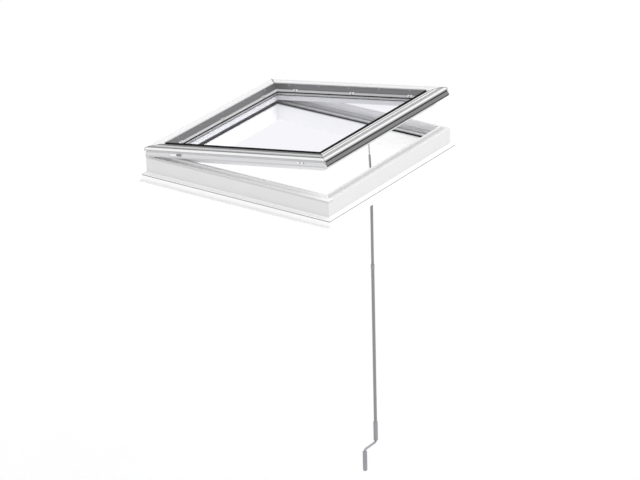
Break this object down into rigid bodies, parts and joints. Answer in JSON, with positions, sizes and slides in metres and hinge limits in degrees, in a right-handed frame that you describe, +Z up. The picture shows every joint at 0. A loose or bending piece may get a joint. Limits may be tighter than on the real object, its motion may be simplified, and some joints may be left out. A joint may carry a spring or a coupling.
{
  "type": "roof skylight",
  "caption": "Opening roof skylight: insulated upstand kerb, hinged double-glazed sash, screw opener and telescopic crank rod.",
  "frame": {"origin": "centre of the kerb's underside, on the roof", "axes": "+Z up, out of the roof; +X along the hinge line; +Y from the opener towards the hinges"},
  "size_m": [1.268, 1.268, 2.0953],
  "materials": {
    "white_pvc": "satin",
    "grey_tape": "matte",
    "black_rubber": "matte",
    "steel_zinc": "brushed",
    "cover_light": "satin",
    "cover_dark": "satin",
    "trim_dark": "satin",
    "bead_grey": "satin",
    "aluminium": "mill",
    "white_clip": "gloss",
    "glass": "clear",
    "nut_plastic": "matte",
    "rod_grey": "satin",
    "grip_grey": "matte",
    "block_plastic": "matte"
  },
  "bodies": {
    "kerb": {"base_plinth": "white_pvc", "base_tape": "grey_tape", "kerb_frame": "white_pvc", "rebate_seal": "black_rubber", "inner_edge_seal": "black_rubber", "hinge_kerb_leaf_left": "steel_zinc", "hinge_kerb_leaf_right": "steel_zinc", "hinge_pins": "steel_zinc", "hinge_kerb_screws": "steel_zinc", "opener_bracket": "steel_zinc", "opener_bracket_screws": "steel_zinc"},
    "sash": {"sash_frame": "white_pvc", "cover_front": "cover_dark", "cover_right": "cover_light", "cover_rear": "cover_light", "cover_left": "cover_light", "corner_keys": "aluminium", "rim_gasket": "black_rubber", "inner_trim_front": "trim_dark", "inner_trim_right": "trim_dark", "inner_trim_rear": "trim_dark", "inner_trim_left": "trim_dark", "trim_screws": "steel_zinc", "glazing_bead_front": "bead_grey", "glazing_bead_right": "bead_grey", "glazing_bead_rear": "bead_grey", "glazing_bead_left": "bead_grey", "glazing_clips": "white_clip", "glazing_gasket": "black_rubber", "outer_pane": "glass", "spacer_frame": "aluminium", "edge_sealant": "black_rubber", "inner_pane": "glass", "rest_gasket": "black_rubber", "setting_blocks": "block_plastic", "sash_seal": "black_rubber", "hinge_sash_leaf_left": "steel_zinc", "hinge_sash_leaf_right": "steel_zinc", "hinge_sash_screws": "steel_zinc", "sash_bracket": "steel_zinc", "sash_bracket_screws": "steel_zinc", "side_fitting_pills": "white_clip", "side_fitting_blocks": "white_clip"},
    "nut": {"nut_block": "nut_plastic"},
    "outer_stage": {"spindle_tube": "rod_grey"},
    "inner_stage": {"spindle_rod": "steel_zinc", "spindle_pin": "steel_zinc"},
    "eye": {"drive_eye": "steel_zinc"},
    "rod_upper": {"rod_hook": "rod_grey", "upper_tube": "rod_grey"},
    "rod_lower": {"lower_tube": "rod_grey", "tube_collar": "grip_grey", "crank_bar": "rod_grey", "handle_cap": "grip_grey"},
    "grip_upper": {"upper_grip": "grip_grey"},
    "grip_handle": {"handle_grip": "grip_grey"}
  },
  "joints": [
    {"name": "sash_hinge", "type": "hinge", "parent": "kerb", "child": "sash", "pos_m": [0, 0.604, 0.153], "axis": [1, 0, 0], "range_deg": [0, 9.08]},
    {"name": "nut_tilt", "type": "hinge", "parent": "kerb", "child": "nut", "pos_m": [0, -0.468, 0.06], "axis": [1, 0, 0], "range_deg": [-2.23, 0]},
    {"name": "outer_stage_slide", "type": "slide", "parent": "nut", "child": "outer_stage", "axis": [0, 0.0468, 0.9989], "range_m": [-0.0711, 0]},
    {"name": "inner_stage_slide", "type": "slide", "parent": "outer_stage", "child": "inner_stage", "axis": [0, 0.0468, 0.9989], "range_m": [-0.09829, 0]},
    {"name": "eye_turn", "type": "hinge", "parent": "outer_stage", "child": "eye", "pos_m": [0, -0.47073, 0.00176], "axis": [0, 0.0468, 0.9989], "continuous": true},
    {"name": "rod_swing", "type": "hinge", "parent": "eye", "child": "rod_upper", "pos_m": [0, -0.47073, 0.00176], "axis": [1, 0, 0], "range_deg": [-30, 30]},
    {"name": "rod_telescope", "type": "slide", "parent": "rod_upper", "child": "rod_lower", "axis": [0, 0, 1], "range_m": [0, 0.4]},
    {"name": "upper_grip_turn", "type": "hinge", "parent": "rod_lower", "child": "grip_upper", "pos_m": [0, -0.47073, -1.56764], "axis": [0, 0, 1], "continuous": true},
    {"name": "handle_turn", "type": "hinge", "parent": "rod_lower", "child": "grip_handle", "pos_m": [-0.112, -0.47073, -1.70444], "axis": [0, 0, 1], "continuous": true}
  ],
  "couplings": [
    {"joint": "nut_tilt", "follows": "sash_hinge", "ratio": -0.24037},
    {"joint": "outer_stage_slide", "follows": "sash_hinge", "m_per_rad": -0.44802},
    {"joint": "inner_stage_slide", "follows": "sash_hinge", "m_per_rad": -0.61958}
  ]
}
